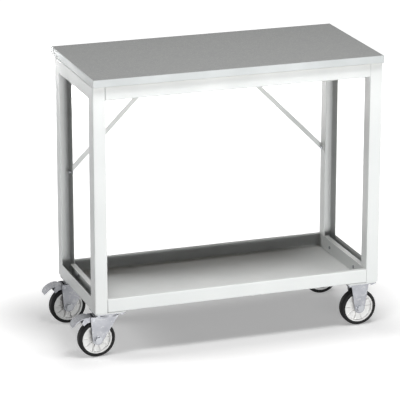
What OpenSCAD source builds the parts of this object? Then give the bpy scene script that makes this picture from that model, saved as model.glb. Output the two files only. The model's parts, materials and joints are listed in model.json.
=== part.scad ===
// Mobile workbench: a lino-topped worktop on two welded channel side frames,
// joined by an apron rail at the front and one at the back, with a sunk base
// tray, two diagonal back braces and four 125 mm castors. The left pair swivels
// and has brake pedals, the right pair is fixed.
// Millimetres, +X to the right, -Y to the front, +Z up, floor at Z = 0.
// The origin lies on the floor, at the middle of the overall length and depth.

/* [Worktop] */
// Length of the worktop, left to right
top_w = 1000; // [800:10:1500]
// Depth of the worktop, front to back
top_d = 480; // [430:10:700]
// Height of the working surface above the floor
bench_h = 950; // [800:10:1100]
// Thickness of the worktop with its lino
top_t = 25; // [22:1:40]
// Thickness of the lino on the board
lino_t = 2.5; // [2:0.5:4]
// Thickness of the plastic edge strips
edge_t = 2; // [1:0.5:3]
// How far the worktop stands out in front of the frame
front_over = 10; // [0:1:30]
// How far the worktop stands out behind the frame
rear_over = 40; // [20:5:100]

/* [Frame] */
// Width of the side frame channel, across the bench
channel_w = 44; // [40:1:60]
// Depth of the side frame channel's flanges
channel_d = 46; // [42:1:60]
// Sheet thickness of all channels
sheet_t = 2; // [1.5:0.5:3]
// Outside radius of the channel bends
bend_r = 4; // [3.5:0.5:6]
// Height of the apron rails under the worktop
rail_h = 48; // [44:1:70]
// Depth of the apron rails' flanges
rail_d = 34; // [30:1:40]
// Width of the flat bar braces
brace_w = 16; // [12:1:25]
// Thickness of the flat bar braces
brace_t = 3; // [2:0.5:4]
// Height of the braces' lower bolts above the floor
brace_foot_h = 525; // [450:5:650]
// Distance between the upper bolts of the two braces
brace_between = 208; // [120:4:300]

/* [Base tray] */
// Sheet thickness of the tray
tray_t = 1.5; // [1:0.25:2]
// Width of the lips that hang on the side frames
tray_lip = 16; // [10:1:22]
// Width of the folded edge on the front and back walls
tray_hem = 14; // [8:1:20]
// Gap between the tray and the side frames
tray_gap = 0.25; // [0.1:0.05:0.5]

/* [Castors] */
// Wheel diameter
wheel_d = 125; // [100:5:140]
// Tread width
tyre_w = 32; // [28:1:34]
// Radial thickness of the rubber tyre
tyre_t = 12; // [10:0.5:16]
// Height from the top of the wheel to the top of the castor plate
head_h = 30; // [28:1:40]
// Swivel offset of the wheel axle from the king pin
trail = 40; // [36:1:44]
// Length of the castor top plate
plate_l = 105; // [100:1:115]
// Width of the castor top plate
plate_w = 85; // [82:1:95]
// Thickness of the castor plates and forks
plate_t = 3; // [2.5:0.5:4]
// Long spacing of the plate holes
hole_l = 80; // [76:1:84]
// Short spacing of the plate holes
hole_w = 60; // [58:1:64]
// Inside width of the forks
fork_w = 40; // [38:1:44]
// Radius of the rounded fork ends below the axle
fork_end_r = 18; // [17:1:22]
// Thickness of the welded castor pads
pad_t = 5; // [4:1:12]
// How far the castor plates are set in from the frame's outer faces
castor_in = 3; // [1:0.5:6]
// Number of spokes in each wheel centre
spokes = 10; // [6:1:14]

/* [Brake] */
// Distance from the king pin to the tip of the brake pedal
pedal_reach = 124; // [116:1:130]
// Width of the brake pedal's tread
pedal_w = 48; // [40:1:56]
// Outside radius of the brake pedal's arched plate
pedal_r = 60; // [56:1:66]
// Sheet thickness of the brake pedal
pedal_t = 2.5; // [2:0.5:3]
// Angle that the pedal turns from free to locked
pedal_travel = 9; // [6:1:10]

/* [Fasteners] */
// Radius of the frame bolts
m6_r = 3; // [2.5:0.5:3]
// Length of the frame bolts' shanks
m6_l = 12; // [10:1:16]
// Radius of the castor bolts
m8_r = 4; // [3.5:0.5:4]
// Radius of the wheel axles
axle_r = 6; // [5:0.5:6.5]
// Radius of the axle washers
washer_r = 14; // [12.5:0.5:16]
// Thickness of the axle washers
washer_t = 1.6; // [1:0.2:2.4]
// Radius of the worktop screws
screw_r = 2.4; // [2:0.1:2.6]
// Length of the worktop screws' shanks
screw_l = 17; // [12:1:18]

/* [Hidden] */
$fn = 48;
eps = 0.01;

// Clearances: running fits, seats between curved faces, bolts in drilled holes
run_gap = 0.08;
seat_gap = 0.3;
drill_gap = 0.4;

// Hexagon heads and nuts, as shares of the bolt's radius
hex_wide = 1.92;
head_high = 1.3;
nut_high = 1.65;

// Heights
wheel_r = wheel_d / 2;
castor_h = wheel_d + head_h;
frame_z0 = castor_h + pad_t;
frame_z1 = bench_h - top_t;
frame_h = frame_z1 - frame_z0;

// Castor centres, measured in from the frame's outer faces
castor_x_in = plate_l / 2 + castor_in;
castor_y_in = plate_w / 2 + castor_in;

// The brake pedals and the fixed wheels reach past the ends of the worktop,
// and the origin lies in the middle of the overall length
pedal_over = pedal_reach - castor_x_in;
wheel_over = max(0, wheel_r - castor_x_in);
x_left = (pedal_over - wheel_over - top_w) / 2;
x_right = x_left + top_w;
y_front = -top_d / 2 + front_over;
y_rear = top_d / 2 - rear_over;
frame_d = y_rear - y_front;
rail_l = top_w - 2 * channel_w;

SIDES = ["left", "right"];
ENDS = ["front", "rear"];

// Apron rail bolts, measured in from the frame's faces and down from its top
rail_bolt_y = 12;
rail_bolt_z = [21, 39];
end_plate_d = rail_d - 6;
end_plate_in = 3;

// Worktop screws in the apron rails' top flanges
screws_per_rail = 4;
screw_y = 18;
screw_end = 60;
screw_step = (rail_l - 2 * screw_end) / (screws_per_rail - 1);
screw_xs = [for (i = [0 : screws_per_rail - 1]) x_left + channel_w + screw_end + i * screw_step];
screw_head_h = 2.8;
screw_head_r = 4.8;
screw_drive_r = 1.5;

// Braces: slanted bars in a plane near the back, with a bolted ear at each end
brace_y = 8;
ear_l = 26;
ear_w = 22;
brace_run = (rail_l - brace_between) / 2;
brace_rise = frame_z1 - rail_h - brace_foot_h;
brace_slope = atan2(brace_rise, brace_run);
ear_bolt_y = brace_y + ear_l / 2 + brace_t / 2;

// Base tray
tray_x0 = x_left + channel_w + tray_gap;
tray_x1 = x_right - channel_w - tray_gap;
tray_z0 = frame_z0 + 1;
lip_z = frame_z0 + channel_d;
tray_h = lip_z + tray_t - tray_z0;
tray_r = 3;
tray_bolt_y = frame_d / 4;
tray_bolt_z = frame_z0 + channel_d / 2;

// Wheel
rim_r = wheel_r - tyre_t;
rim_t = 5;
rim_w = tyre_w - 4;
hub_r = 14;
bush_r = axle_r + 3;
hub_l = fork_w - 2 * seat_gap;
web_t = 12;
web_step = 4;
spoke_t = 3;
spoke_in = 3;
tread_r = 6;
bead_r = 1.2;
bead_in = 5;

// Swivel head, downwards from the castor plate
plate_corner_r = 8;
plate_z = castor_h - plate_t;
crown_gap = 9;
crown_z = plate_z - crown_gap;
crown_r = 34;
crown_wall = 3;
skirt_h = crown_gap - 2;
boss_r = 20;
boss_taper = 2;
boss_h = 5;
ball_d = crown_gap - 2 * seat_gap;
ball_ring_r = 26;
balls = 16;
king_r = 6;
king_head_r = 12;
king_head_t = 3;
king_sunk = 0.5;

// Forks
fork_out = fork_w / 2 + plate_t;
fork_top = crown_z - plate_t;
fork_back = 24;
web_back = 10;
fork_rear_x = -(trail + fork_back);
web_end_x = -(trail + web_back);
fork_front_x = 32;
fixed_half = 32;

// Brake pedal: pivot, arched plate and shoe, seen from the front
pivot_back = 15;
pivot_up = 7;
pivot = [-(trail + pivot_back), wheel_d + pivot_up];
pivot_boss_r = 6.5;
pivot_pin_r = 3;
pin_head_r = 5;
pin_head_t = 1.5;
arch_back = 34;
arch_drop = 12;
arch = [-(trail + arch_back), castor_h - arch_drop - pedal_r];
neck_gap = 4;
tread_corner_r = 10;
skirt_in = 3;
skirt_y = fork_w / 2 - skirt_in;
skirt_t = 2;
shoe_at = 125;
shoe_l = 16;
shoe_t = 4;
shoe_end_gap = 0.35;
axle_at = [-trail, wheel_r];
shoe_n = [cos(shoe_at), sin(shoe_at)];
axle_turned = pivot + turned(axle_at - pivot, -pedal_travel);
shoe_gap = shoe_end_gap + (axle_turned - axle_at) * shoe_n;

// Colours
white_paint = [0.93, 0.95, 0.94];
lino_grey = [0.6, 0.6, 0.6];
edge_grey = [0.82, 0.86, 0.86];
board_tan = [0.72, 0.58, 0.4];
zinc = [0.7, 0.72, 0.74];
dark_zinc = [0.45, 0.46, 0.48];
rubber_black = [0.1, 0.1, 0.1];
wheel_white = [0.9, 0.9, 0.9];
bush_grey = [0.55, 0.57, 0.6];

// A point turned about the origin, anticlockwise
function turned(p, a) = [p[0] * cos(a) - p[1] * sin(a), p[0] * sin(a) + p[1] * cos(a)];

// Where a line from point p touches a circle of radius r at c, on its left or right
function touch(p, c, r, hand) =
    let (d = norm(c - p), a = atan2(c[1] - p[1], c[0] - p[0]), b = asin(r / d))
    p + sqrt(d * d - r * r) * [cos(a + hand * b), sin(a + hand * b)];

// Castor centre on the floor
function castor_x(side) = side == "left" ? x_left + castor_x_in : x_right - castor_x_in;
function castor_y(end) = end == "front" ? y_front + castor_y_in : y_rear - castor_y_in;
function axle_x(side) = castor_x(side) - (side == "left" ? trail : 0);

// Places children on one side frame: X runs inwards from the bench's end
module at_side(side) {
    if (side == "left")
        translate([x_left, 0, 0]) children();
    else
        translate([x_right, 0, 0]) mirror([1, 0, 0]) children();
}

// Places children at the frame's front or back: Y runs inwards from its face
module at_end(end) {
    if (end == "front")
        translate([0, y_front, 0]) children();
    else
        translate([0, y_rear, 0]) mirror([0, 1, 0]) children();
}

module at_castor(end, side) {
    translate([castor_x(side), castor_y(end), 0]) children();
}

module at_axle(end, side) {
    translate([axle_x(side), castor_y(end), wheel_r]) rotate([-90, 0, 0]) children();
}

// Draws a front view outline, X and Z, and gives it a width along Y
module across(width) {
    translate([0, width / 2, 0]) rotate([90, 0, 0]) linear_extrude(width) children();
}

// Rectangle whose two corners on the Y = 0 side are rounded
module round_backed(w, d, r) {
    translate([r, 0]) square([w - 2 * r, d]);
    translate([0, r]) square([w, d - r]);
    for (x = [r, w - r])
        translate([x, r]) circle(r);
}

// Rectangle with four rounded corners, centred
module round_plate(l, w, r) {
    square([l - 2 * r, w], center = true);
    square([l, w - 2 * r], center = true);
    for (x = [-1, 1], y = [-1, 1])
        translate([x * (l / 2 - r), y * (w / 2 - r)]) circle(r);
}

// Folded channel section: web on the Y = 0 side, flanges towards +Y
module channel_section(w, d, t, r) {
    difference() {
        round_backed(w, d, r);
        translate([t, t]) round_backed(w - 2 * t, d, r - t);
    }
}

// Side frame member along Z, cut at 45 degrees at both ends
module mitred_channel(length) {
    intersection() {
        linear_extrude(length) channel_section(channel_w, channel_d, sheet_t, bend_r);
        translate([-1, 0, 0]) rotate([90, 0, 90]) linear_extrude(channel_w + 2)
            polygon([[0, 0], [channel_d, channel_d], [channel_d, length - channel_d], [0, length]]);
    }
}

// Hexagon bolt: the head's seat lies at Z = 0 and the shank runs to +Z
module hex_bolt(r, length) {
    translate([0, 0, -head_high * r]) cylinder(r = hex_wide * r, h = head_high * r, $fn = 6);
    cylinder(r = r, h = length);
}

module hex_nut(r) {
    difference() {
        cylinder(r = hex_wide * r, h = nut_high * r, $fn = 6);
        translate([0, 0, -1]) cylinder(r = r + run_gap, h = nut_high * r + 2);
    }
}

// Hole along +X, for the flanges that face the middle of the bench
module side_hole(r, y, z) {
    translate([channel_w - sheet_t - 1, y, z]) rotate([0, 90, 0]) cylinder(r = r, h = sheet_t + 2);
}

module worktop_board() {
    color(board_tan) difference() {
        translate([x_left + edge_t, -top_d / 2 + edge_t, frame_z1])
            cube([top_w - 2 * edge_t, top_d - 2 * edge_t, top_t - lino_t]);
        at_screws() translate([0, 0, -1]) cylinder(r = screw_r + run_gap, h = screw_l + 1);
    }
}

module worktop_lino() {
    color(lino_grey) translate([x_left + edge_t, -top_d / 2 + edge_t, bench_h - lino_t])
        cube([top_w - 2 * edge_t, top_d - 2 * edge_t, lino_t]);
}

// Long strips cover the ends of the short ones
module edge_strip_long(end) {
    y = end == "front" ? -top_d / 2 : top_d / 2 - edge_t;
    color(edge_grey) translate([x_left, y, frame_z1]) cube([top_w, edge_t, top_t]);
}

module edge_strip_short(side) {
    color(edge_grey) at_side(side) translate([0, -top_d / 2 + edge_t, frame_z1])
        cube([edge_t, top_d - 2 * edge_t, top_t]);
}

module leg(end, side) {
    color(white_paint) at_side(side) at_end(end) difference() {
        translate([0, 0, frame_z0]) mitred_channel(frame_h);
        for (z = rail_bolt_z)
            side_hole(m6_r + drill_gap, rail_bolt_y, frame_z1 - z);
        if (end == "rear")
            side_hole(m6_r + drill_gap, ear_bolt_y, brace_foot_h);
    }
}

module top_side_rail(side) {
    color(white_paint) at_side(side) translate([0, y_front, frame_z1]) rotate([-90, 0, 0])
        mitred_channel(frame_d);
}

module bottom_side_rail(side) {
    color(white_paint) at_side(side) difference() {
        translate([0, y_rear, frame_z0]) rotate([90, 0, 0]) mitred_channel(frame_d);
        for (y = [y_front + tray_bolt_y, y_rear - tray_bolt_y])
            side_hole(m6_r + drill_gap, y, tray_bolt_z);
    }
}

// Channel along X with its web to the front, closed by a drilled plate at each end
module apron_rail(end) {
    z0 = frame_z1 - rail_h;
    color(white_paint) at_end(end) difference() {
        union() {
            translate([x_left + channel_w, 0, frame_z1]) rotate([0, 90, 0]) linear_extrude(rail_l)
                channel_section(rail_h, rail_d, sheet_t, bend_r);
            for (side = SIDES)
                at_side(side) translate([channel_w, sheet_t - eps, z0 + end_plate_in])
                    cube([sheet_t, end_plate_d, rail_h - end_plate_in - sheet_t + eps]);
        }
        for (side = SIDES) {
            for (z = rail_bolt_z)
                at_side(side) translate([sheet_t, 0, 0])
                    side_hole(m6_r + drill_gap, rail_bolt_y, frame_z1 - z);
            if (end == "rear")
                at_side(side) translate([channel_w + brace_run, ear_bolt_y, z0 - 1])
                    cylinder(r = m6_r + drill_gap, h = sheet_t + 2);
        }
        for (x = screw_xs)
            translate([x, screw_y, frame_z1 - sheet_t - 1]) cylinder(r = screw_r + drill_gap, h = sheet_t + 2);
    }
}

// Places children at each worktop screw, at the board's underside
module at_screws() {
    for (end = ENDS, x = screw_xs)
        at_end(end) translate([x, screw_y, frame_z1]) children();
}

module worktop_screws() {
    color(zinc) at_screws() translate([0, 0, -sheet_t]) {
        cylinder(r = screw_r, h = screw_l);
        difference() {
            translate([0, 0, -screw_head_h]) cylinder(r = screw_head_r, h = screw_head_h);
            translate([0, 0, -screw_head_h - 1])
                cylinder(r = screw_drive_r, h = screw_head_h / 2 + 1, $fn = 6);
        }
    }
}

// Folded tray: floor, hemmed front and back walls, and side walls with lips
module base_tray() {
    l = tray_x1 - tray_x0;
    color(white_paint) difference() {
        union() {
            translate([tray_x0, y_front, tray_z0]) rotate([90, 0, 90]) linear_extrude(l) tray_section();
            for (x = [tray_x0, tray_x1 - tray_t])
                translate([x, y_front, tray_z0]) rotate([90, 0, 90]) linear_extrude(tray_t)
                    tray_outline(frame_d, tray_h, tray_r);
            for (side = SIDES)
                at_side(side) translate([channel_w + tray_gap - tray_lip, y_front + channel_d + 1, lip_z])
                    cube([tray_lip + tray_t, frame_d - 2 * channel_d - 2, tray_t]);
        }
        for (side = SIDES, y = [y_front + tray_bolt_y, y_rear - tray_bolt_y])
            at_side(side) translate([tray_gap + tray_t, 0, 0]) side_hole(m6_r + drill_gap, y, tray_bolt_z);
    }
}

// Side view of the tray's folded sheet, Y and Z, from the front face and the floor's underside
module tray_section() {
    difference() {
        tray_outline(frame_d, tray_h, tray_r);
        translate([tray_t, tray_t]) tray_outline(frame_d - 2 * tray_t, tray_h - 2 * tray_t, tray_r - tray_t);
        translate([tray_t + tray_hem, tray_h / 2]) square([frame_d - 2 * (tray_t + tray_hem), tray_h]);
    }
}

module tray_outline(w, h, r) {
    translate([w / 2, h / 2]) round_plate(w, h, r);
}

// Flat bar with a vertical ear on the leg and a level ear under the rail
module brace(side) {
    z1 = frame_z1 - rail_h;
    half_foot = brace_w / 2 / cos(brace_slope);
    half_top = brace_w / 2 / sin(brace_slope);
    color(white_paint) at_side(side) at_end("rear") translate([channel_w, 0, 0]) difference() {
        union() {
            translate([0, brace_y + brace_t, 0]) rotate([90, 0, 0]) linear_extrude(brace_t)
                polygon([[0, brace_foot_h - half_foot], [0, brace_foot_h + half_foot],
                    [brace_run - half_top, z1], [brace_run + half_top, z1]]);
            translate([0, brace_y, brace_foot_h - ear_w / 2]) cube([brace_t, ear_l, ear_w]);
            translate([brace_run - ear_w / 2, brace_y, z1 - brace_t]) cube([ear_w, ear_l, brace_t]);
        }
        translate([-1, ear_bolt_y, brace_foot_h]) rotate([0, 90, 0])
            cylinder(r = m6_r + drill_gap, h = brace_t + 2);
        translate([brace_run, ear_bolt_y, z1 - brace_t - 1])
            cylinder(r = m6_r + drill_gap, h = brace_t + 2);
    }
}

module castor_pad(end, side) {
    color(white_paint) at_castor(end, side) difference() {
        translate([0, 0, castor_h]) linear_extrude(pad_t) round_plate(plate_l, plate_w, plate_corner_r);
        at_plate_holes() translate([0, 0, castor_h - 1]) cylinder(r = m8_r + run_gap, h = pad_t + 2);
    }
}

module at_plate_holes() {
    for (x = [-1, 1], y = [-1, 1])
        translate([x * hole_l / 2, y * hole_w / 2, 0]) children();
}

// Places children at each frame bolt: Z = 0 is the head's seat and +Z runs
// through the joined sheets. The special variable $grip is their thickness.
module at_frame_bolts() {
    for (side = SIDES) at_side(side) {
        for (end = ENDS, z = rail_bolt_z)
            at_end(end) translate([channel_w + sheet_t, rail_bolt_y, frame_z1 - z]) rotate([0, -90, 0])
                let ($grip = 2 * sheet_t) children();
        for (y = [y_front + tray_bolt_y, y_rear - tray_bolt_y])
            translate([channel_w + tray_gap + tray_t, y, tray_bolt_z]) rotate([0, -90, 0])
                let ($grip = sheet_t + tray_t + tray_gap) children();
        at_end("rear") {
            translate([channel_w + brace_t, ear_bolt_y, brace_foot_h]) rotate([0, -90, 0])
                let ($grip = sheet_t + brace_t) children();
            translate([channel_w + brace_run, ear_bolt_y, frame_z1 - rail_h - brace_t])
                let ($grip = sheet_t + brace_t) children();
        }
    }
}

module frame_bolts() {
    color(dark_zinc) at_frame_bolts() hex_bolt(m6_r, m6_l);
}

module frame_nuts() {
    color(dark_zinc) at_frame_bolts() translate([0, 0, $grip]) hex_nut(m6_r);
}

// Short bolts that end inside the tapped pads
module castor_bolts() {
    color(dark_zinc) for (side = SIDES, end = ENDS)
        at_castor(end, side) at_plate_holes() translate([0, 0, plate_z]) hex_bolt(m8_r, plate_t + pad_t - 1);
}

module top_plate() {
    difference() {
        linear_extrude(plate_t) round_plate(plate_l, plate_w, plate_corner_r);
        at_plate_holes() translate([0, 0, -1]) cylinder(r = m8_r + drill_gap, h = plate_t + 2);
    }
}

// Swivel castor's top plate, with the dished boss that the ball race turns on
module boss_plate(end) {
    color(zinc) at_castor(end, "left") difference() {
        union() {
            translate([0, 0, plate_z]) top_plate();
            translate([0, 0, plate_z - boss_h])
                cylinder(r1 = boss_r - boss_taper, r2 = boss_r, h = boss_h + eps);
        }
        translate([0, 0, plate_z - boss_h - 1]) cylinder(r = king_r + run_gap, h = castor_h);
    }
}

// Riveted pin: a flat head under the fork and a closed end in the plate
module king_pin(end) {
    pin_z = fork_top - seat_gap;
    color(dark_zinc) at_castor(end, "left") {
        translate([0, 0, pin_z - king_head_t]) cylinder(r = king_head_r, h = king_head_t);
        translate([0, 0, pin_z - eps]) cylinder(r = king_r, h = castor_h - king_sunk - pin_z);
    }
}

module head_balls(end) {
    color(dark_zinc) at_castor(end, "left")
        for (i = [0 : balls - 1])
            rotate(i * 360 / balls) translate([ball_ring_r, 0, crown_z + crown_gap / 2]) sphere(d = ball_d);
}

// Front view of a fork cheek: straight edges from the head to a round end at the axle
module cheek_outline(x0, x1, z1, axle) {
    a = touch([x0, z1], axle, fork_end_r, -1);
    b = touch([x1, z1], axle, fork_end_r, 1);
    polygon([[x0, z1], a, axle, b, [x1, z1]]);
    translate(axle) circle(fork_end_r);
}

// Pressed inverted channel that is cut to the cheek outline
module pressed_fork(x0, x1, z1, axle) {
    intersection() {
        across(2 * fork_out + 2) cheek_outline(x0, x1, z1, axle);
        translate([x0 - fork_end_r, fork_out, z1]) rotate([-90, 0, -90])
            linear_extrude(x1 - x0 + 2 * fork_end_r) channel_section(2 * fork_out, z1, plate_t, bend_r);
    }
}

module axle_hole(axle) {
    translate([axle[0], 0, axle[1]]) rotate([90, 0, 0])
        cylinder(r = axle_r + run_gap, h = 2 * fork_out + 4, center = true);
}

// Swivel fork: cheeks, pressed crown with its ball cup, and room for the pedal
module castor_fork(end) {
    color(zinc) at_castor(end, "left") difference() {
        union() {
            pressed_fork(fork_rear_x, fork_front_x, crown_z, axle_at);
            translate([0, 0, fork_top]) cylinder(r = crown_r, h = plate_t);
            translate([0, 0, crown_z - eps]) difference() {
                cylinder(r = crown_r, h = skirt_h + eps);
                translate([0, 0, -1]) cylinder(r = crown_r - crown_wall, h = skirt_h + 2);
            }
        }
        axle_hole(axle_at);
        translate([0, 0, fork_top - 1]) cylinder(r = king_r + run_gap, h = plate_t + 2);
        translate([fork_rear_x - 1, -fork_w / 2, pivot[1] - pivot_boss_r])
            cube([web_end_x - fork_rear_x + 1, fork_w, crown_z]);
        translate([pivot[0], 0, pivot[1]]) rotate([90, 0, 0])
            cylinder(r = pivot_pin_r + run_gap, h = 2 * fork_out + 4, center = true);
    }
}

// Arched pedal plate on two skirts that turn on the pin, with a shoe over the tyre
module brake_pedal(end) {
    color(zinc) at_castor(end, "left") difference() {
        union() {
            intersection() {
                across(pedal_w) pedal_arch();
                linear_extrude(castor_h) pedal_plan();
            }
            for (y = [-1, 1])
                translate([0, y * (skirt_y - skirt_t / 2), 0]) across(skirt_t) pedal_skirt();
            across(2 * skirt_y - skirt_t) shoe_outline();
        }
        translate([pivot[0], 0, pivot[1]]) rotate([90, 0, 0])
            cylinder(r = pivot_pin_r + run_gap, h = pedal_w, center = true);
    }
}

module pedal_arch() {
    intersection() {
        difference() {
            translate(arch) circle(pedal_r, $fn = 96);
            translate(arch) circle(pedal_r - pedal_t, $fn = 96);
        }
        translate([-pedal_reach, arch[1]]) square([pedal_reach + pivot[0], pedal_r + 1]);
    }
}

// Plan view: a neck between the fork cheeks that widens to a rounded tread
module pedal_plan() {
    neck_x = fork_rear_x - neck_gap;
    tread_l = pedal_reach + neck_x;
    translate([-pedal_reach, -skirt_y]) square([pedal_reach, 2 * skirt_y]);
    translate([-pedal_reach + tread_l / 2, 0]) round_plate(tread_l, pedal_w, tread_corner_r);
}

function shoe_point(t, d) = axle_at + (wheel_r + shoe_gap + d) * shoe_n + t * [shoe_n[1], -shoe_n[0]];

module shoe_outline() {
    h = shoe_l / 2;
    polygon([shoe_point(-h, 0), shoe_point(h, 0), shoe_point(h, shoe_t), shoe_point(-h, shoe_t)]);
}

// Skirt from the pivot boss out to the shoe, under the arched plate
module pedal_skirt() {
    h = shoe_l / 2;
    translate(pivot) circle(pivot_boss_r);
    intersection() {
        translate(arch) circle(pedal_r - pedal_t / 2, $fn = 96);
        polygon([pivot + [0, -pivot_boss_r], shoe_point(h, 0), shoe_point(-h, 0),
            shoe_point(-h, 3 * shoe_t), [arch[0], castor_h], [pivot[0], castor_h]]);
    }
}

module pedal_pin(end) {
    reach = fork_out + pin_head_t;
    color(dark_zinc) at_castor(end, "left") translate([pivot[0], 0, pivot[1]]) rotate([90, 0, 0]) {
        cylinder(r = pivot_pin_r, h = 2 * reach, center = true);
        for (s = [-1, 1])
            translate([0, 0, s * (fork_out + pin_head_t / 2)])
                cylinder(r = pin_head_r, h = pin_head_t, center = true);
    }
}

module plain_plate(end) {
    color(zinc) at_castor(end, "right") translate([0, 0, plate_z]) top_plate();
}

// Rigid castor's pressed fork, welded under its top plate
module fixed_fork(end) {
    axle = [0, wheel_r];
    color(zinc) at_castor(end, "right") difference() {
        pressed_fork(-fixed_half, fixed_half, plate_z, axle);
        axle_hole(axle);
    }
}

// Axle bolt with its nut and two washers, along Y through the fork cheeks
module wheel_axle(end, side) {
    seat = fork_out + washer_t;
    color(dark_zinc) at_axle(end, side) {
        translate([0, 0, -seat]) hex_bolt(axle_r, 2 * seat + nut_high * axle_r + 1);
        translate([0, 0, seat]) hex_nut(axle_r);
        for (z = [-seat, fork_out])
            translate([0, 0, z]) difference() {
                cylinder(r = washer_r, h = washer_t);
                translate([0, 0, -1]) cylinder(r = axle_r + run_gap, h = washer_t + 2);
            }
    }
}

module wheel_bush(end, side) {
    color(bush_grey) at_axle(end, side) difference() {
        cylinder(r = bush_r, h = hub_l, center = true);
        cylinder(r = axle_r + run_gap, h = hub_l + 2, center = true);
    }
}

// Moulded wheel centre: stepped hub, web with spokes on both faces, and rim
module wheel_centre(end, side) {
    color(wheel_white) at_axle(end, side) difference() {
        union() {
            rotate_extrude($fn = 96) wheel_section();
            for (i = [0 : spokes - 1])
                rotate(i * 360 / spokes) translate([hub_r - 1, -spoke_t / 2, spoke_in - rim_w / 2])
                    cube([rim_r - rim_t - hub_r + 2, spoke_t, rim_w - 2 * spoke_in]);
        }
        cylinder(r = bush_r + run_gap, h = hub_l + 2, center = true);
    }
}

module wheel_section() {
    translate([0, -hub_l / 2]) square([hub_r, hub_l]);
    translate([hub_r - 1, -web_t / 2]) square([rim_r - rim_t - hub_r + 2, web_t]);
    translate([hub_r - 1, -web_t / 2 - web_step]) square([web_step + 1, web_t + 2 * web_step]);
    translate([rim_r - rim_t, -rim_w / 2]) square([rim_t, rim_w]);
}

module wheel_tyre(end, side) {
    h = tyre_w / 2;
    x0 = rim_r + run_gap;
    color(rubber_black) at_axle(end, side) rotate_extrude($fn = 96) {
        translate([x0, -h]) square([wheel_r - tread_r - x0, tyre_w]);
        translate([x0, -h + tread_r]) square([wheel_r - x0, tyre_w - 2 * tread_r]);
        for (y = [-1, 1])
            translate([wheel_r - tread_r, y * (h - tread_r)]) circle(tread_r);
        for (y = [-h, h])
            intersection() {
                translate([rim_r + bead_in, y]) circle(bead_r);
                translate([x0, -h - bead_r / 2]) square([tyre_t, tyre_w + bead_r]);
            }
    }
}

worktop_board();
worktop_lino();
edge_strip_long("front");  // edge_strip_front
edge_strip_long("rear");  // edge_strip_rear
edge_strip_short("left");  // edge_strip_left
edge_strip_short("right");  // edge_strip_right
leg("front", "left");  // leg_front_left
leg("rear", "left");  // leg_rear_left
leg("front", "right");  // leg_front_right
leg("rear", "right");  // leg_rear_right
top_side_rail("left");  // top_side_rail_left
top_side_rail("right");  // top_side_rail_right
bottom_side_rail("left");  // bottom_side_rail_left
bottom_side_rail("right");  // bottom_side_rail_right
apron_rail("front");  // apron_rail_front
apron_rail("rear");  // apron_rail_rear
base_tray();
brace("left");  // brace_left
brace("right");  // brace_right
frame_bolts();
frame_nuts();
worktop_screws();
castor_bolts();

for (e = ENDS) {
    boss_plate(e);
    plain_plate(e);
    king_pin(e);
    head_balls(e);
    castor_fork(e);
    brake_pedal(e);
    pedal_pin(e);
    fixed_fork(e);
}

for (e = ENDS, s = SIDES) {
    castor_pad(e, s);
    wheel_axle(e, s);
    wheel_bush(e, s);
    wheel_centre(e, s);
    wheel_tyre(e, s);
}
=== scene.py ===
"""Mobile workbench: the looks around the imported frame. Metres, +X right, -Y front, +Z up."""
import json
import math

import bpy
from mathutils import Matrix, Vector


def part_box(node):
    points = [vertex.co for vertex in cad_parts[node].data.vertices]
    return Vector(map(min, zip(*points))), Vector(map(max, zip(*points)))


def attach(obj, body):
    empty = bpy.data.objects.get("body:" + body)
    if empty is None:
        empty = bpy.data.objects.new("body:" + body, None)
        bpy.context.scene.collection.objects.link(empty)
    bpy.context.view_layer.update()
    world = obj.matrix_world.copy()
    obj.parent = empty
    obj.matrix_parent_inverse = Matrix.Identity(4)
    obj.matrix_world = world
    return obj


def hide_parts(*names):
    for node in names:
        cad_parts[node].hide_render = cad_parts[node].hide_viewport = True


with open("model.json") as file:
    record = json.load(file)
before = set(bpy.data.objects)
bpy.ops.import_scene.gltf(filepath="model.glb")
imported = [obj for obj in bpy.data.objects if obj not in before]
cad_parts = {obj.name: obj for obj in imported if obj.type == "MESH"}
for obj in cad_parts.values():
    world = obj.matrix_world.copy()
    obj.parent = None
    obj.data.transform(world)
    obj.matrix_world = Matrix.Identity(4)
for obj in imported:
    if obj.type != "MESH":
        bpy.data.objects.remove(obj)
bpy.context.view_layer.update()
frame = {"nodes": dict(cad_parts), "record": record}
NODES = frame["nodes"]
BODIES = frame["record"]["behaviour"]["bodies"]
BODY_OF = {node: body for body, nodes in BODIES.items() for node in nodes}
SLOT_OF = {part["node"]: part["material_slot"] for part in frame["record"]["subparts"]}
SIDES = ("left", "right")
ENDS = ("front", "rear")
MM = 0.001

# How near two places count as the same, and how near two points are merged, in a new piece and in a
# copy of a solid
NEAR = 0.01 * MM
MERGE_PIECE = 0.001 * MM
MERGE_COPY = 0.002 * MM

# Broken edges: how wide by slot, in how many steps, and the angles in degrees below which two faces
# become one, from which an edge is broken, and up to which it is shaded smooth
EASE = {"castor_zinc": 0.5 * MM, "bolt_steel": 0.6 * MM, "wheel_plastic": 0.8 * MM, "frame_paint": 0.4 * MM}
EASE_STEPS = 2
EASE_FLAT = 0.6
EASE_FROM = 32
EASE_SMOOTH = 40

# Angles in degrees up to which the other pieces are shaded smooth
SMOOTH = {"strip": 40, "tyre": 28, "rib": 50, "bead": 80}

# Edge strips: rounding of the outer face's edges
STRIP_ROUND = 1.2 * MM
STRIP_STEPS = 5

# Tyre section, and the steps that it is cut and turned in
TYRE_WALL = 11.9 * MM
TYRE_WIDTH = 32 * MM
TYRE_SHOULDER = 6 * MM
TYRE_CROWN = 0.5 * MM
TYRE_LINE_IN = 7 * MM
TYRE_LINE_HALF = 1.2 * MM
TYRE_LINE_OUT = 0.6 * MM
SHOULDER_STEPS = 8
TREAD_CUTS = 7
WALL_CUTS = 5
TURN_STEPS = 96

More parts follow.
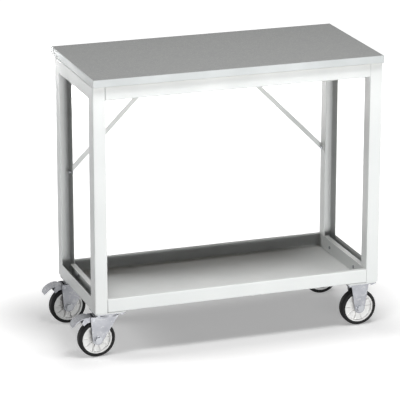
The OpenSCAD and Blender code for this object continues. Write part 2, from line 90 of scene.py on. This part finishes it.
# Brake pedal: middle of its arch seen from the king pin, its radius, and the grip ribs laid across it
ARCH = (-74 * MM, 83 * MM)
ARCH_R = 60 * MM
RIB_ANGLES = (104, 113, 122, 131)
RIB_R = 1.3 * MM
RIB_L = 32 * MM
RIB_SIDES = 20
RIB_ROUND = 0.8 * RIB_R
RIB_STEPS = 4

# Side frames: channel width and sheet
CHANNEL_W = 44 * MM
SHEET = 2 * MM

# Weld beads: their size and spacing, from where to where they run in a mitre and across a channel at
# a castor pad, and how far the run along a pad stops short and stands up
BEAD_R = 1.6 * MM
BEAD_STEP = 2.2 * MM
BEAD_SIDES = 8
BEAD_RINGS = 6
MITRE = (5 * MM, 44 * MM)
PAD_ACROSS = (5 * MM, 39 * MM)
PAD_SHORT = 8 * MM
PAD_UP = 0.5 * MM

# Camera: where it looks, from how far and at which angles, its lens in millimetres, how far it sees
AIM = Vector((-0.0276, 0.0, 0.4381))
DISTANCE = 8.41
TURN = math.radians(-19.156)
RISE = math.radians(17.511)
LENS = 224.9
FARTHEST = 100.0

# Lamps: place, size and watts, all aimed at the middle of the bench, and the light from all round
LAMPS = {
    "front_bank": ((0.3, -3.0, 0.18), (2.6, 0.25), 66.0),
    "top_strip": ((0.2, -1.05, 3.2), (2.0, 0.6), 54.0),
    "left_bank": ((-2.6, 0.6, 1.6), (0.8, 0.8), 24.0),
    "rear_bank": ((0.3, 3.2, 0.18), (2.6, 0.25), 48.0),
    "right_bank": ((3.4, 0.3, 0.18), (1.6, 0.25), 30.0),
}
LAMP_AIM = Vector((0.0, 0.0, 0.5))
SKY = 0.05

# Floor: the share of white that it adds under the bench and away from it, half the length and depth
# that the first holds for, how far out it takes to reach the second, its tone as lit, and its tone in
# the light that it throws back up. The lower share under the bench makes a shadow zone there, partly
# the bench's real shadow and partly painted shadow, and washes the shadow out beyond it; the dark tone
# for thrown-back light is painted shade on the bench's lower parts
FLOOR_SIZE = 60.0
GLOW_NEAR, GLOW_FAR = 0.30, 1.0
FOOTPRINT = (0.52, 0.25, 0.0)
SHADOW_FADE = 0.42
FLOOR_TONE = 0.8
FLOOR_BOUNCE = 0.06


# Node trees

# Sockets of the mix node that take and give a colour
MIX_A, MIX_B, MIX_OUT = 6, 7, 2


def grey(level):
    return (level, level, level, 1.0)


class Graph:
    """Short calls for a node tree."""

    def __init__(self, tree):
        self.tree = tree
        self.nodes = tree.nodes
        self.links = tree.links

    def add(self, kind, inputs=None, **settings):
        node = self.nodes.new(kind)
        for key, value in settings.items():
            setattr(node, key, value)
        for key, value in (inputs or {}).items():
            self.feed(node.inputs[key], value)
        return node

    def feed(self, socket, value):
        """Links a socket to another, or sets it to a plain value."""
        if isinstance(value, bpy.types.NodeSocket):
            self.links.new(value, socket)
        else:
            socket.default_value = value

    def math(self, operation, a, b, clamp=False):
        node = self.add("ShaderNodeMath", operation=operation, use_clamp=clamp)
        self.feed(node.inputs[0], a)
        self.feed(node.inputs[1], b)
        return node.outputs[0]

    def along(self, operation, a, b=None):
        """The same sum on each part of a vector."""
        inputs = {0: a} if b is None else {0: a, 1: b}
        return self.add("ShaderNodeVectorMath", inputs, operation=operation).outputs[0]

    def mix(self, share, a, b):
        node = self.add("ShaderNodeMix", data_type="RGBA")
        self.feed(node.inputs["Factor"], share)
        self.feed(node.inputs[MIX_A], a)
        self.feed(node.inputs[MIX_B], b)
        return node.outputs[MIX_OUT]

    def ramp(self, value, low, high, out_low=0.0, out_high=1.0):
        """Turns low to high into out_low to out_high, and holds them beyond."""
        inputs = {"Value": value, "From Min": low, "From Max": high, "To Min": out_low, "To Max": out_high}
        return self.add("ShaderNodeMapRange", inputs).outputs["Result"]

    def noise(self, vector, scale, detail, roughness=0.5):
        inputs = {"Vector": vector, "Scale": scale, "Detail": detail, "Roughness": roughness}
        return self.add("ShaderNodeTexNoise", inputs).outputs["Fac"]

    def place(self):
        """The place on the object, which its patterns are laid out by."""
        return self.add("ShaderNodeTexCoord").outputs["Object"]

    def squeezed(self, stretch):
        """The same place, with patterns made finer along each axis by the number given."""
        return self.add("ShaderNodeMapping", {"Vector": self.place(), "Scale": stretch}).outputs["Vector"]

    def ray(self, kind):
        return self.add("ShaderNodeLightPath").outputs[kind]

    def seen_directly(self):
        """1 for the camera and for what mirrors and glass show, 0 for all other rays."""
        seen = self.math("MAXIMUM", self.ray("Is Camera Ray"), self.ray("Is Glossy Ray"))
        return self.math("MAXIMUM", seen, self.ray("Is Transmission Ray"))


# Camera, lamps and surroundings

def make_camera():
    data = bpy.data.cameras.new("camera")
    data.lens = LENS
    data.clip_end = FARTHEST
    camera = bpy.data.objects.new("camera", data)
    bpy.context.scene.collection.objects.link(camera)
    back = Vector((math.sin(TURN) * math.cos(RISE), -math.cos(TURN) * math.cos(RISE), math.sin(RISE)))
    camera.location = AIM + DISTANCE * back
    camera.rotation_euler = (math.pi / 2 - RISE, 0.0, TURN)
    bpy.context.scene.camera = camera


def make_lamps():
    for name, (place, size, power) in LAMPS.items():
        data = bpy.data.lights.new(name, "AREA")
        data.shape = "RECTANGLE"
        data.size, data.size_y = size
        data.energy = power
        lamp = bpy.data.objects.new(name, data)
        bpy.context.scene.collection.objects.link(lamp)
        lamp.location = place
        lamp.rotation_euler = (LAMP_AIM - Vector(place)).to_track_quat("-Z", "Y").to_euler()


def white_surroundings():
    """White for the camera and in mirrors, faint plain grey as light."""
    world = bpy.data.worlds.new("studio")
    world.use_nodes = True
    bpy.context.scene.world = world
    graph = Graph(world.node_tree)
    graph.nodes.clear()
    strength = graph.ramp(graph.seen_directly(), 0.0, 1.0, SKY, 1.0)
    back = graph.add("ShaderNodeBackground", {"Color": grey(1.0), "Strength": strength})
    graph.add("ShaderNodeOutputWorld", {"Surface": back.outputs[0]})


def floor_material():
    """Pale floor that the camera sees as white. Its glow is low over the bench's footprint and rises to
    white away from it: a painted shadow zone in which the bench's real shadow shows, washed out beyond it.
    """
    mat = bpy.data.materials.new("studio_floor")
    mat.use_nodes = True
    graph = Graph(mat.node_tree)
    graph.nodes.clear()
    past = graph.along("SUBTRACT", graph.along("ABSOLUTE", graph.place()), FOOTPRINT)
    past = graph.along("MAXIMUM", past, (0, 0, 0))
    away = graph.add("ShaderNodeVectorMath", {0: past}, operation="LENGTH").outputs["Value"]
    # Painted shadow: the glow is low over the bench's footprint and full white away from it
    painted_shadow_glow = graph.ramp(away, 0.0, SHADOW_FADE, GLOW_NEAR, GLOW_FAR)
    glow = graph.math("MULTIPLY", graph.seen_directly(), painted_shadow_glow)
    # Painted shade: to thrown-back light the floor is nearly black, which darkens the bench's lower parts
    tone = graph.mix(graph.ray("Is Diffuse Ray"), grey(FLOOR_TONE), grey(FLOOR_BOUNCE))
    matt = graph.add("ShaderNodeBsdfDiffuse", {"Color": tone})
    light = graph.add("ShaderNodeEmission", {"Color": grey(1.0), "Strength": glow})
    both = graph.add("ShaderNodeAddShader", {0: matt.outputs[0], 1: light.outputs[0]})
    graph.add("ShaderNodeOutputMaterial", {"Surface": both.outputs[0]})
    return mat


def make_floor():
    bpy.ops.object.select_all(action="DESELECT")
    bpy.ops.mesh.primitive_plane_add(size=FLOOR_SIZE, location=(0, 0, 0))
    floor = bpy.context.object
    floor.name = "studio_floor"
    floor.data.materials.append(floor_material())


# Effects that the finishes share

FLOAT, COLOUR = "NodeSocketFloat", "NodeSocketColor"


def new_group(name, inputs, outputs):
    """A shader node group with named sockets; returns it with its graph and its two ends."""
    tree = bpy.data.node_groups.new(name, "ShaderNodeTree")
    for socket, kind, value in inputs:
        made = tree.interface.new_socket(name=socket, in_out="INPUT", socket_type=kind)
        made.default_value = value
    for socket, kind in outputs:
        tree.interface.new_socket(name=socket, in_out="OUTPUT", socket_type=kind)
    graph = Graph(tree)
    start = graph.add("NodeGroupInput")
    end = graph.add("NodeGroupOutput")
    return tree, graph, start.outputs, end.inputs


def mottle_group():
    """Slow, faint changes of colour and gloss, as on any painted or rolled sheet."""
    inputs = [("Colour", COLOUR, grey(0.8)), ("Shade", COLOUR, grey(0.7)),
              ("Scale", FLOAT, 8.0), ("Roughness", FLOAT, 0.5), ("Spread", FLOAT, 0.1)]
    tree, graph, start, end = new_group("mottle", inputs, [("Colour", COLOUR), ("Roughness", FLOAT)])
    field = graph.noise(graph.place(), start["Scale"], detail=4.0)
    share = graph.ramp(field, low=0.3, high=0.7)
    graph.feed(end["Colour"], graph.mix(share, start["Colour"], start["Shade"]))
    swing = graph.math("MULTIPLY", graph.math("SUBTRACT", share, 0.5), start["Spread"])
    graph.feed(end["Roughness"], graph.math("ADD", start["Roughness"], swing))
    return tree


def grain_group():
    """Fine orange peel or moulded grain, as a height."""
    tree, graph, start, end = new_group("grain", [("Scale", FLOAT, 900.0)], [("Height", FLOAT)])
    graph.feed(end["Height"], graph.noise(graph.place(), start["Scale"], detail=2.0))
    return tree


def flecks_group(warp_scale=90.0, warp=0.01, fade=0.08):
    """Small flecks with soft edges, as in linoleum and galvanised sheet; 1 inside a fleck."""
    inputs = [("Scale", FLOAT, 300.0), ("Amount", FLOAT, 0.3)]
    tree, graph, start, end = new_group("flecks", inputs, [("Mask", FLOAT)])
    drift = graph.add("ShaderNodeTexNoise", {"Vector": graph.place(), "Scale": warp_scale, "Detail": 2.0})
    offset = graph.along("MULTIPLY", drift.outputs["Color"], (warp, warp, warp))
    place = graph.along("ADD", graph.place(), offset)
    cells = graph.add("ShaderNodeTexVoronoi", {"Vector": place, "Scale": start["Scale"]})
    level = graph.add("ShaderNodeSeparateColor", {"Color": cells.outputs["Color"]})
    top = graph.math("SUBTRACT", 1.0, start["Amount"])
    graph.feed(end["Mask"], graph.ramp(level.outputs["Red"], top, graph.math("ADD", top, fade)))
    return tree


def rubs_group(fade=0.05):
    """Thin rubbed streaks, level ones and upright ones; 1 on a streak."""
    inputs = [("Scale", FLOAT, 40.0), ("Cut", FLOAT, 0.66)]
    tree, graph, start, end = new_group("rubs", inputs, [("Mask", FLOAT)])
    level = graph.noise(graph.squeezed((1.0, 1.0, 9.0)), start["Scale"], detail=4.0, roughness=0.7)
    upright = graph.noise(graph.squeezed((7.0, 1.0, 1.0)), start["Scale"], detail=4.0, roughness=0.7)
    streak = graph.math("MAXIMUM", level, upright)
    graph.feed(end["Mask"], graph.ramp(streak, start["Cut"], graph.math("ADD", start["Cut"], fade)))
    return tree


def dust_group():
    """Fine dust that lies on faces that look up; Amount where it is thickest."""
    inputs = [("Scale", FLOAT, 25.0), ("Amount", FLOAT, 0.3)]
    tree, graph, start, end = new_group("dust", inputs, [("Mask", FLOAT)])
    normal = graph.add("ShaderNodeNewGeometry").outputs["Normal"]
    up = graph.add("ShaderNodeSeparateXYZ", {"Vector": normal}).outputs["Z"]
    lying = graph.ramp(up, low=0.3, high=1.0)
    field = graph.noise(graph.place(), start["Scale"], detail=5.0, roughness=0.6)
    patches = graph.ramp(field, low=0.35, high=0.75)
    both = graph.math("MULTIPLY", lying, patches)
    graph.feed(end["Mask"], graph.math("MULTIPLY", both, start["Amount"]))
    return tree


GROUPS = {
    "mottle": mottle_group(),
    "grain": grain_group(),
    "flecks": flecks_group(),
    "rubs": rubs_group(),
    "dust": dust_group(),
}

# How much rougher each effect makes the surface
ROUGHER = {"flecks": 0.0, "rubs": 0.06, "dust": 0.2}


def use_group(graph, name, inputs):
    node = graph.add("ShaderNodeGroup", node_tree=GROUPS[name])
    for key, value in inputs.items():
        graph.feed(node.inputs[key], value)
    return node.outputs


# Finishes

def finish(name, colour, shade, roughness, spread=0.1, scale=8.0, grain=(900.0, 0.05), flecks=None,
           rubs=None, dust=None, metallic=0.0, specular=0.5, bounce=1.0):
    """A finish from its two colours and its effects. grain is its scale and strength. flecks, rubs and
    dust are (scale, amount, colour) or nothing. bounce is the share of its light that it throws on to
    other faces; below 1 it is painted shade, which darkens the insides of channels, corners and recesses."""
    mat = bpy.data.materials.new(name)
    mat.use_nodes = True
    graph = Graph(mat.node_tree)
    shader = graph.nodes["Principled BSDF"]
    shader.inputs["Metallic"].default_value = metallic
    shader.inputs["Specular IOR Level"].default_value = specular
    base = use_group(graph, "mottle", {"Colour": (*colour, 1), "Shade": (*shade, 1), "Scale": scale,
                                       "Roughness": roughness, "Spread": spread})
    tone, gloss = base["Colour"], base["Roughness"]
    for effect, values in (("flecks", flecks), ("rubs", rubs), ("dust", dust)):
        if values is None:
            continue
        size, amount, tint = values
        key = "Cut" if effect == "rubs" else "Amount"
        mask = use_group(graph, effect, {"Scale": size, key: amount})["Mask"]
        tone = graph.mix(mask, tone, (*tint, 1))
        gloss = graph.math("ADD", gloss, graph.math("MULTIPLY", mask, ROUGHER[effect]), clamp=True)
    # Painted shade: to bounced light the finish is darker than it looks, so its own recesses and corners
    # render darker
    if bounce < 1.0:
        painted_shade_share = graph.math("MULTIPLY", graph.ray("Is Diffuse Ray"), 1.0 - bounce)
        tone = graph.mix(painted_shade_share, tone, grey(0.0))
    graph.feed(shader.inputs["Base Color"], tone)
    graph.feed(shader.inputs["Roughness"], gloss)
    fineness, strength = grain
    height = use_group(graph, "grain", {"Scale": fineness})["Height"]
    relief = graph.add("ShaderNodeBump", {"Height": height, "Strength": strength, "Distance": 1 * MM})
    graph.feed(shader.inputs["Normal"], relief.outputs["Normal"])
    return mat


MATERIALS = {
    "frame_paint": finish(
        "powder_coat", (0.86, 0.88, 0.87), (0.82, 0.845, 0.835), 0.42,
        grain=(700.0, 0.14),
        rubs=(30.0, 0.72, (0.74, 0.76, 0.755)),
        dust=(25.0, 0.25, (0.78, 0.775, 0.76)),
        # painted shade: the paint throws on only 35 percent of its light, which darkens the channel insides
        # and the tray
        bounce=0.35,
    ),
    "lino": finish(
        "linoleum", (0.255, 0.26, 0.26), (0.295, 0.30, 0.295), 0.6,
        scale=45.0,
        grain=(1500.0, 0.1),
        flecks=(420.0, 0.22, (0.345, 0.345, 0.335)),
        rubs=(22.0, 0.73, (0.32, 0.325, 0.32)),
        dust=(14.0, 0.2, (0.36, 0.36, 0.35)),
        specular=0.4,
    ),
    "board": finish(
        "chipboard", (0.55, 0.40, 0.24), (0.46, 0.32, 0.18), 0.65,
        scale=20.0,
        grain=(500.0, 0.3),
        flecks=(260.0, 0.35, (0.66, 0.51, 0.33)),
    ),
    "edge_plastic": finish(
        "edge_strip", (0.61, 0.64, 0.64), (0.57, 0.60, 0.60), 0.4,
        grain=(1200.0, 0.05),
        rubs=(50.0, 0.72, (0.70, 0.73, 0.73)),
    ),
    "castor_zinc": finish(
        "zinc_plate", (0.30, 0.305, 0.325), (0.25, 0.255, 0.275), 0.48,
        metallic=0.8,
        scale=35.0,
        grain=(420.0, 0.1),
        flecks=(160.0, 0.2, (0.335, 0.34, 0.355)),
        rubs=(60.0, 0.71, (0.42, 0.42, 0.44)),
        dust=(40.0, 0.3, (0.34, 0.335, 0.33)),
    ),
    "bolt_steel": finish(
        "zinc_bolt", (0.42, 0.43, 0.45), (0.34, 0.35, 0.37), 0.34,
        metallic=0.9,
        scale=90.0,
        grain=(800.0, 0.08),
        rubs=(120.0, 0.66, (0.58, 0.58, 0.60)),
    ),
    "tyre_rubber": finish(
        "tyre_rubber", (0.009, 0.009, 0.010), (0.014, 0.014, 0.014), 0.72,
        scale=25.0,
        grain=(1500.0, 0.2),
        rubs=(70.0, 0.7, (0.03, 0.03, 0.03)),
        dust=(60.0, 0.3, (0.05, 0.049, 0.047)),
        specular=0.22,
    ),
    "wheel_plastic": finish(
        "wheel_centre", (0.89, 0.89, 0.88), (0.85, 0.85, 0.84), 0.38,
        scale=20.0,
        grain=(1000.0, 0.08),
        rubs=(60.0, 0.71, (0.76, 0.76, 0.75)),
        dust=(50.0, 0.3, (0.70, 0.69, 0.66)),
    ),
    "bush_plastic": finish(
        "bush", (0.30, 0.32, 0.35), (0.27, 0.29, 0.32), 0.5,
        scale=60.0,
        grain=(1100.0, 0.08),
        flecks=(700.0, 0.2, (0.36, 0.38, 0.41)),
    ),
}


# Modelling helpers: one piece is worked on at a time, with everything else deselected

def work_on(*pieces):
    bpy.ops.object.select_all(action="DESELECT")
    for piece in pieces:
        piece.select_set(True)
    bpy.context.view_layer.objects.active = pieces[0]


def edit(piece, kind, test):
    """Opens the piece in edit mode with the vertices, edges or faces picked that pass the test."""
    if piece.mode == "EDIT":
        bpy.ops.object.mode_set(mode="OBJECT")
    work_on(piece)
    bpy.ops.object.mode_set(mode="EDIT")
    bpy.ops.mesh.select_mode(type=kind)
    bpy.ops.mesh.select_all(action="DESELECT")
    bpy.ops.object.mode_set(mode="OBJECT")
    mesh = piece.data
    for part in {"VERT": mesh.vertices, "EDGE": mesh.edges, "FACE": mesh.polygons}[kind]:
        part.select = test(part)
    bpy.ops.object.mode_set(mode="EDIT")


def merge_all(gap):
    """Opens the piece that is worked on in edit mode, all picked, with points nearer than gap made one."""
    bpy.ops.object.mode_set(mode="EDIT")
    bpy.ops.mesh.select_all(action="SELECT")
    bpy.ops.mesh.remove_doubles(threshold=gap)


def done(angle):
    """Leaves a sound, outward-facing mesh with its place applied, smooth where it bends less than angle."""
    merge_all(MERGE_PIECE)
    bpy.ops.mesh.normals_make_consistent(inside=False)
    bpy.ops.object.mode_set(mode="OBJECT")
    bpy.ops.object.transform_apply(location=True, rotation=True, scale=True)
    bpy.ops.object.shade_smooth_by_angle(angle=math.radians(angle))
    return bpy.context.object


def apply(piece, kind, **settings):
    """Adds a modifier with its settings and applies it."""
    work_on(piece)
    modifier = piece.modifiers.new(kind.lower(), kind)
    for key, value in settings.items():
        setattr(modifier, key, value)
    bpy.ops.object.modifier_apply(modifier=modifier.name)


def join(pieces, name):
    work_on(*pieces)
    bpy.ops.object.join()
    piece = bpy.context.object
    piece.name = name
    return piece


def fit(piece, slot, body, *nodes):
    """Gives the piece its finish and its body, and hides the nodes that it stands for."""
    piece.data.materials.clear()
    piece.data.materials.append(MATERIALS[slot])
    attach(piece, body)
    if nodes:
        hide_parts(*nodes)


def eased_copy(node):
    """The node's own shape, merged to clean faces, with its sharp edges broken as by a press or a file."""
    piece = bpy.data.objects.new(node + "_eased", NODES[node].data.copy())
    bpy.context.scene.collection.objects.link(piece)
    work_on(piece)
    merge_all(MERGE_COPY)
    bpy.ops.mesh.dissolve_limited(angle_limit=math.radians(EASE_FLAT))
    bpy.ops.object.mode_set(mode="OBJECT")
    bpy.ops.mesh.customdata_custom_splitnormals_clear()
    apply(piece, "BEVEL", width=EASE[SLOT_OF[node]], segments=EASE_STEPS, limit_method="ANGLE",
          angle_limit=math.radians(EASE_FROM), use_clamp_overlap=True)
    merge_all(MERGE_COPY)
    bpy.ops.mesh.dissolve_degenerate(threshold=MERGE_COPY)
    bpy.ops.object.mode_set(mode="OBJECT")
    bpy.ops.object.shade_smooth_by_angle(angle=math.radians(EASE_SMOOTH))
    apply(piece, "WEIGHTED_NORMAL", keep_sharp=True)
    return piece


# Pieces

def dress_nodes():
    """Gives each CAD node the material of its slot in the record."""
    for name, piece in NODES.items():
        piece.data.materials.clear()
        piece.data.materials.append(MATERIALS[SLOT_OF[name]])


def ease_nodes():
    """Breaks the edges of the metal and moulded pieces that keep the shape of their solid."""
    for node, slot in SLOT_OF.items():
        if slot in EASE and not node.startswith(("head_balls", "brake_pedal")):
            fit(eased_copy(node), slot, BODY_OF[node], node)


def make_edge_strips():
    """Extruded plastic strips, with the edges of their outer faces rounded."""
    for where in ENDS + SIDES:
        node = "edge_strip_" + where
        low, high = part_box(node)
        bpy.ops.object.select_all(action="DESELECT")
        bpy.ops.mesh.primitive_cube_add(size=1.0, location=(low + high) / 2, scale=high - low)
        strip = done(SMOOTH["strip"])
        strip.name = "edge_strip_rounded_" + where
        axis = 1 if where in ENDS else 0
        outer = low[axis] if where in ("front", "left") else high[axis]

        def on_outer_face(edge):
            return all(abs(strip.data.vertices[i].co[axis] - outer) < NEAR for i in edge.vertices)

        edit(strip, "EDGE", on_outer_face)
        bpy.ops.mesh.bevel(offset=STRIP_ROUND, segments=STRIP_STEPS)
        done(SMOOTH["strip"])
        fit(strip, SLOT_OF[node], BODY_OF[node], node)


def make_tyre(node):
    """Tyre turned from its section: round shoulders, a crowned tread, a raised line on each wall."""
    low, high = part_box(node)
    axle = (low + high) / 2
    top = high.z
    bpy.ops.object.select_all(action="DESELECT")
    bpy.ops.mesh.primitive_plane_add(size=1.0, location=(axle.x, axle.y, top - TYRE_WALL / 2),
                                     rotation=(0, math.pi / 2, 0))
    tyre = bpy.context.object
    tyre.name = "tyre_turned_" + node.removeprefix("wheel_tyre_")
    tyre.scale = (TYRE_WALL, TYRE_WIDTH, 1)
    bpy.ops.object.transform_apply(location=True, rotation=True, scale=True)

    def ends_of(edge):
        return [tyre.data.vertices[i].co for i in edge.vertices]

    def corners(v):
        return v.co.z > top - NEAR

    def tread(edge):
        return all(co.z > top - NEAR for co in ends_of(edge))

    def walls(edge):
        a, b = ends_of(edge)
        return abs(a.y - b.y) < NEAR < abs(a.z - b.z)

    def inner(edge):
        """The lines that the cuts draw across the section, all but its lower edge."""
        a, b = ends_of(edge)
        return abs(a.y - b.y) > TYRE_WIDTH / 2 and min(a.z, b.z) > top - TYRE_WALL + NEAR

    edit(tyre, "VERT", corners)
    bpy.ops.mesh.bevel(offset=TYRE_SHOULDER, segments=SHOULDER_STEPS, affect="VERTICES")
    edit(tyre, "EDGE", tread)
    bpy.ops.mesh.subdivide(number_cuts=TREAD_CUTS)
    edit(tyre, "EDGE", walls)
    bpy.ops.mesh.subdivide(number_cuts=WALL_CUTS)
    bpy.ops.object.mode_set(mode="OBJECT")
    for v in tyre.data.vertices:
        aside = v.co.y - axle.y
        if v.co.z > top - TYRE_SHOULDER:
            v.co.z -= TYRE_CROWN * (aside / (TYRE_WIDTH / 2)) ** 2
        on_wall = abs(aside) > TYRE_WIDTH / 2 - NEAR
        if on_wall and abs(v.co.z - (top - TYRE_LINE_IN)) < TYRE_LINE_HALF:
            v.co.y += math.copysign(TYRE_LINE_OUT, aside)
    edit(tyre, "FACE", lambda face: True)
    bpy.ops.mesh.delete(type="ONLY_FACE")
    edit(tyre, "EDGE", inner)
    bpy.ops.mesh.delete(type="EDGE")
    bpy.ops.mesh.select_all(action="SELECT")
    bpy.ops.mesh.spin(steps=TURN_STEPS, angle=2 * math.pi, center=axle, axis=(0, 1, 0))
    done(SMOOTH["tyre"])
    fit(tyre, SLOT_OF[node], BODY_OF[node], node)


def make_pedal(end):
    """Pressed brake pedal with raised grip ribs across its tread."""
    node = f"brake_pedal_{end}_left"
    low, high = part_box(f"castor_plate_{end}_left")
    king = (low + high) / 2
    parts = [eased_copy(node)]
    for angle in RIB_ANGLES:
        turn = math.radians(angle)
        x = king.x + ARCH[0] + ARCH_R * math.cos(turn)
        z = ARCH[1] + ARCH_R * math.sin(turn)
        bpy.ops.object.select_all(action="DESELECT")
        bpy.ops.mesh.primitive_cylinder_add(vertices=RIB_SIDES, radius=RIB_R, depth=RIB_L,
                                            location=(x, king.y, z), rotation=(math.pi / 2, 0, 0))
        edit(bpy.context.object, "FACE", lambda face: len(face.vertices) == RIB_SIDES)
        bpy.ops.mesh.bevel(offset=RIB_ROUND, segments=RIB_STEPS)
        parts.append(done(SMOOTH["rib"]))
    fit(join(parts, f"pressed_pedal_{end}"), SLOT_OF[node], BODY_OF[node], node)


def weld_run(start, end):
    """A run of overlapping beads, as a welder lays them."""
    along = Vector(end) - Vector(start)
    bpy.ops.object.select_all(action="DESELECT")
    bpy.ops.mesh.primitive_uv_sphere_add(segments=BEAD_SIDES, ring_count=BEAD_RINGS, radius=BEAD_R,
                                         location=start)
    bead = done(SMOOTH["bead"])
    count = max(2, int(along.length / BEAD_STEP))
    apply(bead, "ARRAY", count=count, use_relative_offset=False, use_constant_offset=True,
          constant_offset_displace=along / (count - 1))
    return bead


def make_welds(side):
    """Weld beads inside the mitred corners of a side frame and where the castor pads meet it."""
    runs = []
    hand = 1 if side == "left" else -1
    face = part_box(f"leg_front_{side}")[0 if side == "left" else 1].x
    for end in ENDS:
        inward = 1 if end == "front" else -1
        low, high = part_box(f"leg_{end}_{side}")
        y = low.y if end == "front" else high.y
        for z, up in ((low.z, 1), (high.z, -1)):
            for x in (face + hand * SHEET, face + hand * (CHANNEL_W - SHEET)):
                first, last = [(x, y + inward * far, z + up * far) for far in MITRE]
                runs.append(weld_run(first, last))
        pad_low, pad_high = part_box(f"castor_pad_{end}_{side}")
        for y in (pad_low.y, pad_high.y):
            first, last = [(face + hand * far, y, pad_high.z) for far in PAD_ACROSS]
            runs.append(weld_run(first, last))
        x = face + hand * CHANNEL_W
        z = pad_high.z + PAD_UP
        runs.append(weld_run((x, pad_low.y + PAD_SHORT, z), (x, pad_high.y - PAD_SHORT, z)))
    fit(join(runs, f"weld_beads_{side}"), "frame_paint", "bench")


bpy.context.scene.view_settings.view_transform = "Standard"
make_camera()
white_surroundings()
make_floor()
make_lamps()
dress_nodes()
ease_nodes()
make_edge_strips()
for tyre_node in [node for node in NODES if node.startswith("wheel_tyre_")]:
    make_tyre(tyre_node)
for end_name in ENDS:
    make_pedal(end_name)
for side_name in SIDES:
    make_welds(side_name)
